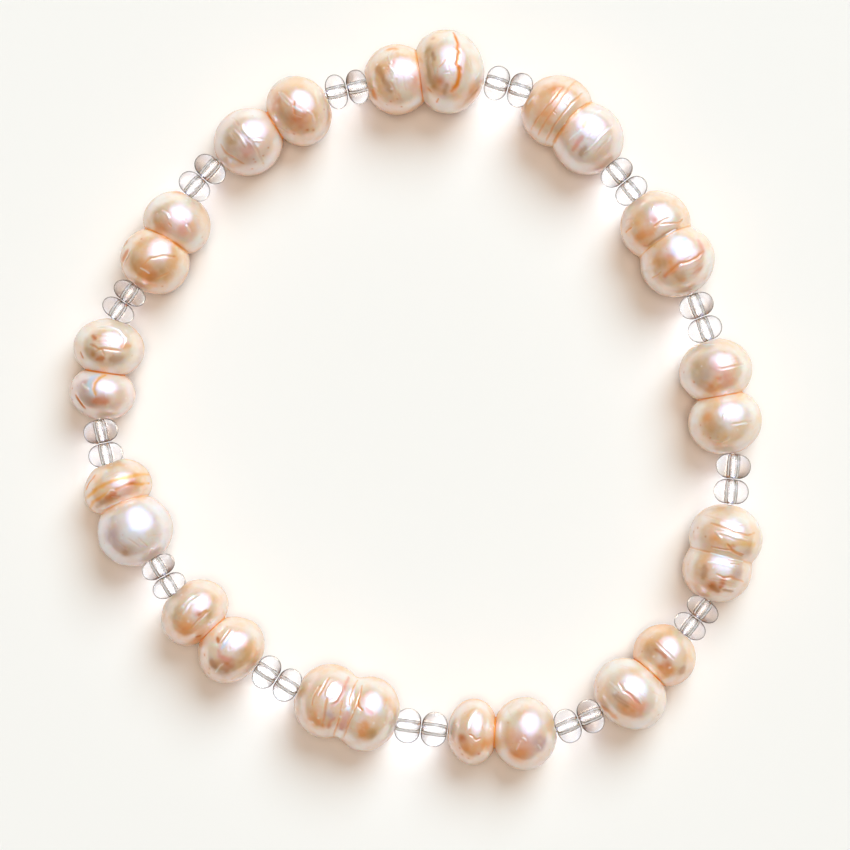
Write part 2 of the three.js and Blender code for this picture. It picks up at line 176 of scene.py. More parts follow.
# Each pearl, in mm in its own plan: u runs along it from the waist, the way that the loop
# is travelled, and v points away from the middle of the loop. tones are those of its two
# lobes, bow is how far the waist swings towards +u at v = 0, waist how strong the orange
# line in it is, blend how softly the lobes meet there, and wrinkle how strong its fine
# ridges are. A mark is its style, its width, or its radius where it is a spot, and then
# u,v of each point that it passes. A semicolon parts marks of the same style and width.
Pearl = namedtuple("Pearl", "tones bow waist blend wrinkle marks")
PEARLS = {
    1: Pearl(("peach", "cream"), 0.5, 0.8, 0.35, 0.9, """
  valley 0.9: 1.6,2.8 1.3,1 1.4,-0.5 1.6,-1.8
  crack 0.28: 4.9,4.3 5.1,3.6 5.15,2.8 5.05,2.2 5.2,1.85 4.95,1.4 4.8,0.8 4.6,0.3 4.85,0
  crack 0.5: 4.85,0 4.95,-0.5 4.8,-1.3 4.4,-2.1 3.6,-2.7
  brown 0.25: 2,2.2 2.1,1.2
  groove 0.15: 3.4,1.1 2.6,0.2
  rust 0.6: 2.4,-1.5
  hair 0.15: 3,-0.4 3.6,-0.5; 3.9,1.6 3.6,0.2 3.9,-1
  brown 0.35: 3.1,-2 2.7,-2.9
  groove 0.14: 0.9,-1.9 1.2,-2.4
  speck 0.3: 2.3,3.9
  crack 0.14: 1.9,-3.3 1.6,-3.7
  orange 1: 6.2,-3.3
  white 0.16: 6.5,-1.7 7.1,-1
  ridge 0.16: -2,3.5 -2.9,3.2 -3.3,2.6 -3.1,1.9 -3.3,1.3 -2.9,0.6 -3,-0.2
  scratch 0.14: -3,3 -3.5,2.4 -3.3,1.6 -3.5,1 -3.15,-0.2
  hair 0.14: -2.3,0.7 -2.7,-0.4 -2.6,-1.4; -1.7,0.3 -1.9,-0.8 -1.7,-1.7
  pink 0.4: -2.6,1.8 -2.4,0.8
  brown 0.6: -4.7,1.4 -4.3,0.2
  brown 0.5: -4.2,-0.2 -3.6,-1.5
  scratch 0.16: -3.4,-0.5 -3.1,-2.1
  pink 0.8: -0.4,-1.1
  white 0.14: -0.9,-0.2 -0.6,-0.4
  orange 0.3: -3.2,3.5 -2.2,3.4
  orange 0.35: -5.7,-1 -5.5,-2
  bead 0.14: -4,1.3 -3.2,-0.3 -4.7,1.9 -3.5,-1.3
  speck 0.12: -3,-2.6 -3.7,-2.8 -4.3,-3 -2.6,-3.5"""),
    2: Pearl(("peach", "silver"), -0.8, 0.6, 0.6, 0.6, """
  groove 0.15: -4,2.4 -3.95,1.2 -3.8,0 -3.8,-1.2 -3.7,-2.5 -3.5,-3.8
  groove 0.17: -3.3,4.1 -3.35,3 -3.3,1.5 -3.15,0.5 -3,-0.5 -2.9,-1.8 -2.6,-3 -2.3,-4.2
  groove 0.19: -1.6,4.1 -1.8,3.2 -1.9,1.5 -1.8,0 -1.75,-1.5 -1.5,-2.8 -1.1,-4
  groove 0.19: -0.2,3.6 -0.6,2.6 -0.85,1.5 -0.9,0.3 -0.8,-1 -0.65,-2.3 -0.3,-3.8
  scratch 0.15: -3,0.9 -2,0.9; -2.9,-0.6 -2.3,-0.6
  white 0.18: -5.8,-0.7 -5.8,-1.8
  orange 1: -3.4,-1.2; -4.6,1.6
  brown 0.5: -1.2,-1.7
  white 0.2: 1.2,3.4 1,2.4 1,1.2
  orange 0.3: 0.8,1.1 1,0.5
  white 0.16: 1,0 0.8,-1.8
  pink 0.4: 1.7,-0.6 1.9,-2.4
  brown 0.6: 2.8,-1.4 3,-2.2
  ridge 0.16: 3.5,3 3.4,0.8 3.4,-0.5 3.2,-1.8
  hair 0.14: 2.3,2.4 2.2,1 2.3,-0.4; 4.3,1.6 4.2,0.2 4.3,-1.2
  white 0.16: 4.2,1.9 4.3,1.2"""),
    3: Pearl(("peach", "cream"), -0.5, 0.6, 0.6, 1.1, """
  brown 0.24: -0.8,1.8 -1,0.5 -0.9,-0.8 -0.8,-2.2
  white 0.14: -0.75,1.6 -0.8,0.2
  orange 0.8: -2.2,-0.8 -2.3,-2.6
  rust 0.45: -3.2,-0.1
  bead 0.14: -3,-0.6 5.4,-0.6
  groove 0.18: -2.3,1.7 -2.5,0.4 -2.3,-0.5; -1.4,3 -1.3,2.3 -1.6,1.5 -2.2,0.3
  grey 0.6: -4.4,-0.3
  ridge 0.18: -4.6,0.8 -4.2,0.4
  groove 0.18: -1.1,-2.6 -0.7,-2.2
  crack 0.12: -3.7,-2.8 -3.6,-3.6
  cyan 0.42: 0.8,2 0.9,0.9 1.5,-0.2
  pink 0.7: 1.4,-1
  pink 0.4: 1.8,3.2 3.2,3 3.4,2 3.3,0.8 3,-0.2 3.1,-1.5 3.3,-2.4
  groove 0.22: 3.2,3 3.4,2 3.3,0.8 3,-0.2 3.1,-1.5 3.3,-2.4
  orange 0.6: 2.2,-1 3,-1.4
  hair 0.14: 4,2.4 4.3,1 4,0; 4.7,1.8 4.8,0.6 4.5,-0.4
  pink 0.5: 4.6,1.4
  orange 0.7: 1.3,-2
  olive 0.5: 1.8,-1.8
  white 0.14: 3.2,-0.1 3.3,-0.4
  groove 0.1: 2.7,-2.6 2.8,-3.2 2.7,-3.7
  hair 0.09: 2.8,-3.2 2.3,-3.1; 2.8,-3.3 3,-3.7
  brown 0.5: 4.2,-1"""),
    4: Pearl(("cream", "cream"), 0.05, 0.8, 0.25, 0.3, """
  white 0.14: -0.2,1.4 -0.2,0.6
  scratch 0.16: -3.2,3.2 -3.2,0
  pink 0.9: -1.9,1
  pink 0.7: -3.5,-0.3
  dent 0.35: -1.9,-0.1
  orange 0.9: -1.3,-1
  olive 1.2: -3.6,-1.8
  grey 0.6: -2.8,-1.6
  white 0.16: -6.2,0.2 -6.4,-1.2
  speck 0.12: -3.5,-3.9 -2.2,-3 3.1,-3.2 4.7,-2.3 7,1.3 7,-1.1
  scratch 0.2: 3.6,2.9 3.6,0.5
  white 0.16: 3.8,2.4 3.8,0.9
  ridge 0.22: 5.2,0 5.5,-1.2 4.9,-2.2
  yellow 0.9: 4.8,-0.5
  orange 0.7: 2.4,-2.2
  olive 0.8: 3.5,-1.5
  ridge 0.16: 2.2,-0.2 2.7,-0.5
  bead 0.14: 4.3,1 6,-0.5"""),
    5: Pearl(("cream", "peach"), -0.25, 0.5, 0.7, 1.4, """
  white 0.16: 0,2.5 0,-1.5
  groove 0.2: -3.6,2.9 -3.1,2.2 -3.1,0.5 -3.3,-0.6 -3.5,-2.4
  ridge 0.24: -2.6,2.3 -2.5,0.8 -2.7,-0.5 -2.6,-1.6
  yellow 0.45: -2.3,3.2 -2,1.5 -1.5,0.3 -1.8,-1.5
  orange 0.8: -1.8,-1.6
  groove 0.22: -0.8,2.3 -1,0.8 -1.5,0
  groove 0.18: -0.6,2.2 -0.9,0.5 -0.7,-1.6
  dent 0.3: -1.4,0.8
  brown 0.5: -1.2,2.7
  ridge 0.2: -2,-0.8 -2.7,-1.7
  speck 0.13: -1.9,-4 -2.5,-3.7 -1.7,-2.6
  white 0.18: 1,1.7 0.9,0 1.1,-1.5
  groove 0.24: 2.3,3.2 2.2,1.5 2.4,0.6 2.2,-0.3
  ridge 0.26: 3.4,2.4 3.4,1.3 3.5,0.4
  brown 0.2: 3.75,2.3 3.8,1
  rust 0.4: 3.6,0.6 2.6,0.8
  rust 0.5: 3.7,-0.4
  brown 0.5: 1.8,-1.8 3,-1.6
  brown 0.35: 3.8,-0.5 4.2,0.6
  lilac 0.6: 1.5,2.2
  hair 0.14: -4.2,1.4 -4,0 -4.2,-1.6; 2.9,2.4 2.8,0.8 3,-1; 4.6,2 4.6,0.4
  bead 0.15: 4.5,-0.8"""),
    6: Pearl(("amber", "cream"), 0, 1, 0.25, 0.9, """
  white 0.3: -0.5,0.5 -0.5,-0.5
  orange 0.9: -2,1.5 -1.3,0.5
  rust 0.5: -2.2,0.6
  scratch 0.18: -3.3,1 -3.3,-2.2
  rust 0.25: -2.7,0 -2.7,-1.5
  brown 0.6: -3.3,2.5 -2.6,2.6
  brown 0.7: -2.2,-1.8
  speck 0.12: -1.3,-2.5 5.7,-3.2 5.4,-3.5 2.9,4
  bead 0.14: -2.1,1.2 -1.8,-1.1 3.4,2.1 3,1.9 4,1.5 5.9,-1.4
  pink 0.8: 3.7,1.7
  ridge 0.16: 3.2,1.5 3.1,0 3.3,-0.8 2.9,-1.8
  ridge 0.14: 3.9,-0.8 3.4,-2.3; 4,-1 3.9,-3
  groove 0.16: 3.5,1.3 3.4,-0.2 3.6,-1.2 3.2,-2.2
  pink 0.3: 3.5,1 3.3,-0.8
  orange 1: 5,0.8
  brown 0.5: 4.6,0.4 4.7,-1.6
  hair 0.14: 2.6,1.2 2.5,-0.4 2.2,-1.6; 4.3,1.6 4.4,0.2 4.7,-1.2
  bead 0.2: 5.7,-2.3 1.9,2.5 4.5,-1.8
  orange 0.6: 6.6,0.4 6.7,-1.4"""),
    7: Pearl(("cream", "peach"), 0.15, 1, 0.25, 0.35, """
  white 0.3: -0.4,-0.4 -0.4,-1.4
  bead 0.14: 0.35,-1 0.75,-0.6 4.9,-1
  pink 1.4: -3.2,1
  orange 1: -2.5,2.4
  lilac 0.8: -5.2,1
  ridge 0.16: -5.3,1.5 -5,1; -3.5,0.6 -3,0.2; -2.4,1.7 -2.8,0.6
  orange 1.1: 3,2.2
  rust 0.5: 4.1,0.6
  orange 0.6: 1.3,1.2
  speck 0.14: 2.1,2.4 3.3,3 4.4,1.8 4,2.6
  ridge 0.24: 3.6,-0.5 3.5,-1.3 3.1,-2.1 2.4,-2.8
  groove 0.18: 1.9,0.5 2.4,0.8 2.8,0.3 3.3,0.1"""),
    8: Pearl(("peach", "peach"), 0, 0, 1.1, 1.1, """
  groove 0.18: -0.6,3.4 -0.7,1.2 -0.75,0 -0.9,-1.2 -0.8,-3.2
  groove 0.16: 0.55,4 0.65,2.8 0.6,1.5 0.65,0.5 0.8,-0.8
  white 0.5: -0.1,3.6 -0.1,1.5 -0.1,-0.3
  pink 0.5: 0,2.4 -0.1,0.4
  groove 0.14: 0,-0.6 0.2,-1.5 0.1,-2.8 -0.1,-3.6
  bead 0.14: 0.5,1.1 0.6,0.2 -2.3,1.2 -2.6,1.7 -3.4,0.6 -4.7,0.1
  orange 0.9: -2.6,2.2 -2.6,1
  olive 0.7: -3.8,1.8
  pink 0.24: -3,-0.6 -2.5,-0.7 -2.1,-0.9
  crack 0.16: -1.7,-0.5 -1.1,-0.8 -0.9,-1.5
  white 0.3: -1.3,-0.2 -1.1,-0.5
  white 0.14: -5.5,-0.6 -5.3,-1.2
  ridge 0.2: 2.2,-0.1 1.6,-0.7 1.4,-1.8 1.6,-2.5; 2.9,-0.7 3,-1.6 2.7,-2.4 2.3,-2.8
  groove 0.22: 2.3,2.8 2.4,1.5 2.6,0.3 2.8,-0.6
  pink 0.22: 1.5,2.8 1.5,2 1.2,1.4; 1,-3.6 1.3,-1.5 1.5,-0.6 1.9,0
  groove 0.16: 3.7,-0.5 3.5,-2 3.3,-2.9
  groove 0.18: 4.2,0.8 4.3,-0.3 4,-1.8
  orange 1.1: 3.2,2.5
  lilac 0.5: 1.8,1.3
  bead 0.14: 5.7,0.5 6.1,-0.5 5.4,-1.4 3,2 3.5,2.7"""),
    9: Pearl(("peach", "peach"), 0.45, 0.9, 0.3, 0.8, """
  orange 0.8: 0.9,1.5 0.7,2.5
  rust 0.22: 0.85,1.3 1.1,1.7
  brown 0.9: -4,2.2
  brown 0.6: -3,2.6 -2.2,2.4
  white 0.18: -3.6,3 -3.4,2 -3.5,1.6
  rust 0.6: -3.9,1
  pink 0.35: -3.4,0.9 -2.5,1.2 -1.9,0.9
  ridge 0.22: -1.7,0 -1.5,-1 -1.4,-2
  cyan 0.22: -2.1,0.4 -1.9,-0.6 -1.7,-1.7
  groove 0.14: -1.45,0.1 -1.3,-1 -1.2,-1.8
  white 0.35: -1.2,0.6
  rust 0.25: -1.3,0.2 -0.8,0
  olive 0.9: -4.8,-0.6
  speck 0.13: -1.2,2.5 -3.1,3.7 -2.7,3.2 -5.5,2.3
  orange 1.3: 2.6,2.2 3,1.2
  groove 0.16: 2.3,1.3 2.4,0 2.2,-1.6
  groove 0.14: 2.6,-0.3 2.5,-1.5
  ridge 0.26: 4.2,0.8 4.5,-0.6 4.3,-2
  ridge 0.2: 4.9,0.5 4.9,-1.5
  rust 0.35: 2.8,-0.4
  olive 0.9: 4.9,1.5
  olive 0.6: 1.7,-1.2
  bead 0.16: 5.9,-0.5 4.6,0.3 3,1"""),
    10: Pearl(("white", "peach"), 0.55, 0.5, 0.3, 0.7, """
  white 0.16: 0.85,2.5 0.95,0
  hair 0.14: -4.6,1.5 -3.2,2.2; -4.9,0 -3.5,0.8; -5.3,-0.9 -3.9,-0.3
  bead 0.14: -1.2,1.5 -3.3,1.6 -4.7,1.5 -1.4,2.2 4.8,0.3 5.3,-0.5
  brown 0.8: -5,1.8
  lilac 1: -2.6,2.6
  white 0.15: -6.2,-0.6 -5.7,-1.2
  stripe 0.36: 2.6,4.2 3,3.4 3.4,2 3.5,0.5 3.5,-0.8 3.3,-2 3,-3.2 2.6,-4.1
  stripe 0.3: 1.5,4 2.1,3 2.4,1.5 2.4,-1.4 1.9,-3 1.6,-3.8
  crack 0.2: 3.8,3.4 4.4,2.8 4.9,1.8
  brown 0.4: 1.4,3 1.7,1.5 1.5,0
  rust 0.35: 2,1.4 2,0.2
  ridge 0.2: 2.3,1.3 2.5,0.7 2.3,0.2
  pink 0.7: 1.9,-0.8
  rust 0.5: 2.4,-2"""),
    11: Pearl(("silver", "cream"), 0, 1, 0.25, 0.9, """
  lilac 1.1: -2.3,2.1
  brown 0.6: -3.6,1.2
  cyan 0.34: -2.9,0.6 -2.4,1.1 -1.6,1.5 -0.9,1.3 -0.5,0.5
  stripe 0.3: -2.8,0.5 -2.2,0.8 -1.5,0.8 -0.8,0.3 -0.4,-0.2
  ridge 0.22: -1.8,2.3 -2.4,1.4
  crack 0.26: -3.3,2.9 -4.2,2 -4.6,1.6
  ridge 0.16: -3.2,2.6 -4,1.8 -4.4,1.4
  rust 0.7: -3.6,0.5 -3.3,-0.9
  grey 0.5: -3.5,1.7
  speck 0.13: -3.8,3.3 -2.5,3.5
  groove 0.26: 3,2 2.6,1 2.8,-0.2 2.7,-1.8
  groove 0.16: 2.4,1.2 2.6,0.6 2,0
  rust 0.45: 1.4,0.9 1.6,0.2
  rust 0.35: 1.9,1.5
  olive 0.9: 2.2,2
  crack 0.14: 1.3,2.7 2,3.1
  rust 0.25: 3.7,1.4 4.1,1.9
  ridge 0.18: 5.2,1.5 5.4,0.3 5.2,-1.2 4.2,-2.2 3.2,-2
  hair 0.14: 4.2,1.6 4.3,0.2 4.1,-1.2; 3.5,1.8 3.6,0.4 3.4,-1.2
  brown 0.6: 1.6,-0.8 2,-1.9
  orange 0.35: 3.3,-1.8 3.5,-2.7
  cream 0.8: 2.5,-3
  bead 0.16: 5.8,0 5.3,-1.9"""),
    12: Pearl(("amber", "cream"), 0.5, 1, 0.3, 0.9, """
  orange 1.3: -4.3,0.3
  olive 0.8: -4,2
  rust 0.5: -3.9,-1
  groove 0.18: -3.8,0.7 -3,0.6 -2.5,0.4 -2.3,0 -1.9,-0.4 -1.5,-0.8 -1.2,-1.6 -0.9,-2.1
  white 0.15: -4.15,0.8 -4.15,-0.4
  ridge 0.2: -4.9,2.9 -3.6,2.9 -2.8,3
  rust 0.35: -4.4,3.3 -3.2,3.3
  rust 0.3: -2.6,4 -2.2,4
  olive 0.9: -3,-1.6
  groove 0.16: -4.4,-1.5 -3.4,-2.1 -2.8,-2.4
  speck 0.12: -1,-1.9 -4.7,-2.5 -1.1,2.5 2.5,3.9 2.2,-4 2.8,-3.6
  bead 0.15: -5.3,0.8 -5.6,-0.4 1.8,1.4 5.6,0.2 6,0.3
  orange 0.9: 1.3,1.3
  olive 1: 2.2,2.2
  pink 1.1: 2.6,-1.1
  ridge 0.2: 3.05,2 3,1.2 2.7,0.8
  groove 0.16: 2.1,0.6 2,0.1
  ridge 0.18: 3,-1.4 2.6,-2.1
  orange 0.6: 6,1.6"""),
    13: Pearl(("silver", "peach"), 0.2, 1, 0.25, 1.1, """
  ridge 0.24: -4.4,2 -4.2,1 -4.1,0 -4.2,-0.8
  ridge 0.2: -5.1,1.8 -5.1,0.8
  ridge 0.26: -3.1,2 -3.4,1.3 -3.3,0.4 -3.1,-0.1
  scratch 0.18: -3.4,0 -3.2,-1.2 -3.4,-2.5 -3.5,-3.6
  ridge 0.18: -2.9,-0.6 -2.2,-1.1
  scratch 0.16: -3.7,3.3 -3.6,2
  groove 0.2: -6.6,1.2 -6.5,0.2 -6.2,-0.7 -5.4,-2.2
  olive 1.1: -5.3,0.6
  brown 1.2: -4.3,-1.1
  pink 0.6: -4.4,-1.1
  bead 0.15: -2.9,-1.4 -6.9,-0.2 6.9,1 6.8,0.2
  speck 0.13: -4.2,-2.4 -4.2,-2.7 -3,-2.6 -1.9,-2.1 -4.8,-3.2
  rust 0.9: 1.7,1.8
  olive 1: 1.7,-0.2
  rust 1: 3,-1.1
  ridge 0.2: 2.5,2.9 2.6,1.8 2.8,0.8
  ridge 0.18: 2.9,2.6 3,1.8 3.1,0.8
  crack 0.16: 3.6,0.9 3.1,0.4 2.8,-0.6
  white 0.24: 3.2,0.5 3.4,-0.1 3.8,-0.6
  ridge 0.22: 4.3,-0.8 4.6,-1.6 4.3,-2.4
  speck 0.14: 3.2,-2.7 3.7,-3.1 1.5,-2.3 2,3.7 6.1,-1.6
  white 0.3: 0.7,0.9 0.7,0.3
  orange 0.5: 6.3,-2.5"""),
}


def read_marks(text):
    """The style, size and places of each mark that a pearl's text lists, in order."""
    marks = []
    for row in text.strip().splitlines():
        head, runs = row.split(":")
        name, size = head.split()
        for run in runs.split(";"):
            places = [tuple(float(number) for number in point.split(",")) for point in run.split()]
            marks.append((name, float(size), places))
    return marks


# ---------------- small vector helpers
def unit(v):
    return v / np.linalg.norm(v)


def smooth_step(x):
    t = np.clip(x, 0.0, 1.0)
    return t * t * (3.0 - 2.0 * t)


def smooth_max(a, b, blend):
    near = np.maximum(blend - np.abs(a - b), 0) / blend
    return np.maximum(a, b) + near * near * blend / 4


def node_points(name):
    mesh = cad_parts[name].data
    flat = np.empty(len(mesh.vertices) * 3)
    mesh.vertices.foreach_get("co", flat)
    return flat.reshape(-1, 3)


HASH_STEPS = np.array([73856093, 19349663, 83492791])     # large primes, as usual in such noise
HASH_SEED = 2654435761
HASH_MIX = 1274126177


def noise(points, seed):
    """Smooth value noise in -1..1, on a lattice of one unit, the same on every run."""
    cell = np.floor(points).astype(np.int64)
    inside = smooth_step(points - cell)
    total = np.zeros(len(points))
    for corner in range(8):
        step = np.array([corner & 1, (corner >> 1) & 1, (corner >> 2) & 1])
        key = (cell + step) @ HASH_STEPS + seed * HASH_SEED
        key = (key ^ (key >> 13)) * HASH_MIX
        value = ((key ^ (key >> 16)) & 0xFFFF) / 32767.5 - 1.0
        total += value * np.prod(np.where(step == 1, inside, 1.0 - inside), axis=1)
    return total


# ---------------- what the CAD model says
class GlassBead:
    """Centre, direction of the thread, length and radii of one glass bead's CAD node."""

    def __init__(self, node, direction):
        low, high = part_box(node)
        self.node = node
        self.centre = (np.array(low) + np.array(high)) / 2
        self.direction = direction
        offset = node_points(node) - self.centre
        along = offset @ direction
        across = np.linalg.norm(offset - along[:, None] * direction, axis=1)
        self.half = (along.max() - along.min()) / 2
        self.radius = across.max()
        self.hole_radius = across.min()

    def recess(self, sideways):
        """How far the rounded end lies behind the end plane, at a distance from the thread."""
        share = (sideways - self.hole_radius) / (self.radius - self.hole_radius)
        share = np.clip(share, 0, 1) ** GLASS_ROUNDING
        return self.half * (1 - (1 - share) ** (1 / GLASS_ROUNDING))


def glass_pair(number):
    """The two beads after pearl `number`, in the order that the thread meets them."""
    nodes = [f"glass_bead_{number:02d}{letter}" for letter in "ab"]
    middles = [sum(np.array(corner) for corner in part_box(node)) / 2 for node in nodes]
    direction = unit(middles[1] - middles[0])
    return [GlassBead(node, direction) for node in nodes]


FIT_TOLERANCES = (0.5 * MM, 0.2 * MM, 0.08 * MM, 0.04 * MM)


def fit_lobe(points, along, across):
    """The ellipsoid of revolution about `along`, resting on z = 0, that meets the points.

    Its centre is (u0, v0, r), its radius is r across and r / sqrt(k) along:
    k u^2 - 2 k u0 u - 2 v0 v - 2 r w + c = -(v^2 + w^2), which is linear in its unknowns.
    Points that another surface made lie off it, and each round leaves more of them out.
    """
    u = points @ along
    v = points @ across
    w = points[:, 2]
    keep = np.ones(len(points), bool)
    for tolerance in FIT_TOLERANCES:
        table = np.stack([u**2, -2 * u, -2 * v, -2 * w, np.ones(len(u))], axis=1)
        k, ku0, v0, r, _ = np.linalg.lstsq(table[keep], -(v**2 + w**2)[keep], rcond=None)[0]
        u0 = ku0 / k
        reach = np.sqrt(k * (u - u0) ** 2 + (v - v0) ** 2 + (w - r) ** 2)
        keep = np.abs(reach - r) < tolerance
    centre = along * u0 + across * v0 + UP * r
    return {"centre": centre, "across": r, "along": r / math.sqrt(k)}


def crossing(first, second, along):
    """Where the outlines of two lobes cross, measured along the pearl."""
    u = np.linspace(first["centre"] @ along, second["centre"] @ along, 200)
    heights = []
    for lobe in (first, second):
        offset = (u - lobe["centre"] @ along) / lobe["along"]
        heights.append(lobe["across"] * np.sqrt(np.clip(1 - offset**2, 0, 1)))
    return u[np.argmin(np.abs(heights[0] - heights[1]))]


class PearlShape:
    """Both lobes and both drilled ends of one pearl, measured from its CAD node."""

    def __init__(self, node, seat_in, seat_out):
        points = node_points(node)
        self.node = node
        self.seats = (seat_in, seat_out)
        span = seat_out["point"] - seat_in["point"]
        self.drill = unit(span)
        along = unit(span * np.array([1, 1, 0]))
        waist = (points @ along).mean()
        margin = 0.3 * MM
        rounds_to_settle = 3
        for _ in range(rounds_to_settle):
            outward = np.cross(UP, along)
            u = points @ along
            first = fit_lobe(points[u < waist - margin], along, outward)
            second = fit_lobe(points[u > waist + margin], along, outward)
            along = unit((second["centre"] - first["centre"]) * np.array([1, 1, 0]))
            waist = crossing(first, second, along)
        self.lobes = (first, second)
        self.along = along
        self.outward = np.cross(UP, along)
        self.waist = waist
        self.middle = (first["centre"] + second["centre"]) / 2

    def plan(self, points):
        """u, v and w in mm: along the pearl from its waist, outward, and up from its middle."""
        u = points @ self.along - self.waist
        v = (points - self.middle) @ self.outward
        w = points[:, 2] - self.middle[2]
        return np.stack([u, v, w], axis=1) / MM


def pearl_between(number, before, after):
    seat_in = {"bead": before, "outward": -before.direction}
    seat_out = {"bead": after, "outward": after.direction}
    for seat in (seat_in, seat_out):
        seat["point"] = seat["bead"].centre - seat["outward"] * seat["bead"].half
    return PearlShape(f"pearl_{number:02d}", seat_in, seat_out)


# ---------------- the plain surface of a pearl
def exit_distance(origin, directions, lobe, along):
    """How far a ray from inside the lobe goes before it leaves it."""
    stretch = lobe["across"] / lobe["along"] - 1.0

    def squash(v):
        return v + np.outer(v @ along, along) * stretch

    start = squash((origin - lobe["centre"])[None, :])[0]
    steps = squash(directions)
    a = np.sum(steps * steps, axis=1)
    b = steps @ start
    c = start @ start - lobe["across"] ** 2
    return (-b + np.sqrt(np.maximum(b * b - a * c, 0))) / a


def drill_frame(shape):
    """The drilled line's direction, and two directions square to it: up and sideways."""
    up = unit(UP - shape.drill * (UP @ shape.drill))
    return shape.drill, up, np.cross(up, shape.drill)


def surface_points(theta, phi, shape, origin, blend):
    """Where rays from the middle of the waist leave the two grown-together lobes.

    Also says how much further one lobe reaches than the other, which is 0 at the waist.
    """
    drill, up, side = drill_frame(shape)
    ring = np.cos(phi)[..., None] * up + np.sin(phi)[..., None] * side
    directions = -np.cos(theta)[..., None] * drill + np.sin(theta)[..., None] * ring
    directions = directions.reshape(-1, 3)
    reach = [exit_distance(origin, directions, lobe, shape.along) for lobe in shape.lobes]
    distance = smooth_max(reach[0], reach[1], blend)
    points = origin + directions * distance[:, None]
    return points.reshape(*theta.shape, 3), (reach[1] - reach[0]).reshape(theta.shape)


def ring_angles(shape, origin, blend):
    """Polar angles that space the rings evenly over the profile, closer at the waist."""
    off_pole = 0.01
    samples = 1500
    theta = np.linspace(off_pole, math.pi - off_pole, samples)
    sides = [surface_points(theta, np.full_like(theta, phi), shape, origin, blend)[0]
             for phi in (-math.pi / 2, math.pi / 2)]
    radius = np.linalg.norm(sides[1] - sides[0], axis=1) / 2
    steps = np.linalg.norm(np.diff(sides[1], axis=0), axis=1)
    from_waist = (sides[1][1:] @ shape.along) - shape.waist
    near_waist = np.exp(-((from_waist / WAIST_CROWDING_WIDTH) ** 2))
    length = np.concatenate([[0], np.cumsum(steps * (1 + WAIST_CROWDING * near_waist))])
    middle = len(theta) // 2
    first = np.interp(PEARL_HOLE_RADIUS, radius[:middle], length[:middle])
    last = np.interp(-PEARL_HOLE_RADIUS, -radius[middle:], length[middle:])
    return np.interp(np.linspace(first, last, PROFILE_RINGS), length, theta)


def press_seat(points, seat):
    """Wears the pearl's end back where the glass bead's rounded end sits on it."""
    offset = points - seat["point"]
    height = offset @ seat["outward"]
    sideways = np.linalg.norm(offset - height[..., None] * seat["outward"], axis=-1)
    limit = seat["bead"].recess(sideways) * SEAT_SHARE - SEAT_GAP
    limit = np.where(sideways > seat["bead"].radius * SEAT_REACH, NO_SEAT, limit)
    excess = smooth_max(height - limit, np.zeros_like(height), SEAT_BLEND)
    return points - excess[..., None] * seat["outward"]


def bow_waist(points, shape, bow):
    """Swings the middle of the waist along the pearl."""
    u, v, _ = np.moveaxis(shape.plan(points.reshape(-1, 3)).reshape(points.shape), -1, 0)
    radius = shape.lobes[0]["across"] / MM
    window = np.clip(1 - (v / radius) ** 2, 0, 1) * np.exp(-((u * MM / BOW_WIDTH) ** 2))
    return points + (bow * MM * window)[..., None] * shape.along


def grid_normals(points):
    """Outward normals of a grid whose columns close on themselves."""
    along = np.gradient(points, axis=0)
    round_about = (np.roll(points, -1, axis=1) - np.roll(points, 1, axis=1)) / 2
    normal = np.cross(along, round_about)
    normal /= np.linalg.norm(normal, axis=-1, keepdims=True)
    centre = points.reshape(-1, 3).mean(axis=0)
    outward = np.sum(normal * (points - centre), axis=-1).mean()
    return normal if outward > 0 else -normal


def pearl_grid(shape, blend):
    """The plain surface, the angle of each column, and the distance from the waist line."""
    start = shape.seats[0]["point"]
    to_waist = (shape.waist - start @ shape.along) / (shape.drill @ shape.along)
    origin = start + shape.drill * to_waist
    rings = ring_angles(shape, origin, blend)
    phi = np.linspace(0, 2 * math.pi, RING_POINTS, endpoint=False)
    phi = phi - RING_CROWDING * np.sin(phi)
    theta_grid, phi_grid = np.meshgrid(rings, phi, indexing="ij")
    points, difference = surface_points(theta_grid, phi_grid, shape, origin, blend)
    spacing = np.linalg.norm(np.gradient(points, axis=0), axis=-1)
    slope = np.abs(np.gradient(difference, axis=0)) / np.maximum(spacing, 1e-9)
    least_slope = 0.3
    return points, phi, difference / np.maximum(slope, least_slope)


def round_hole_rims(points, phi, shape):
    """The first and last rings become true circles about the drilled line."""
    drill, up, side = drill_frame(shape)
    circle = np.cos(phi)[:, None] * up + np.sin(phi)[:, None] * side
    start = shape.seats[0]["point"]
    for row in (0, -1):
        depth = ((points[row] - start) @ drill).mean()
        points[row] = start + drill * depth + circle * PEARL_HOLE_RADIUS
    return points


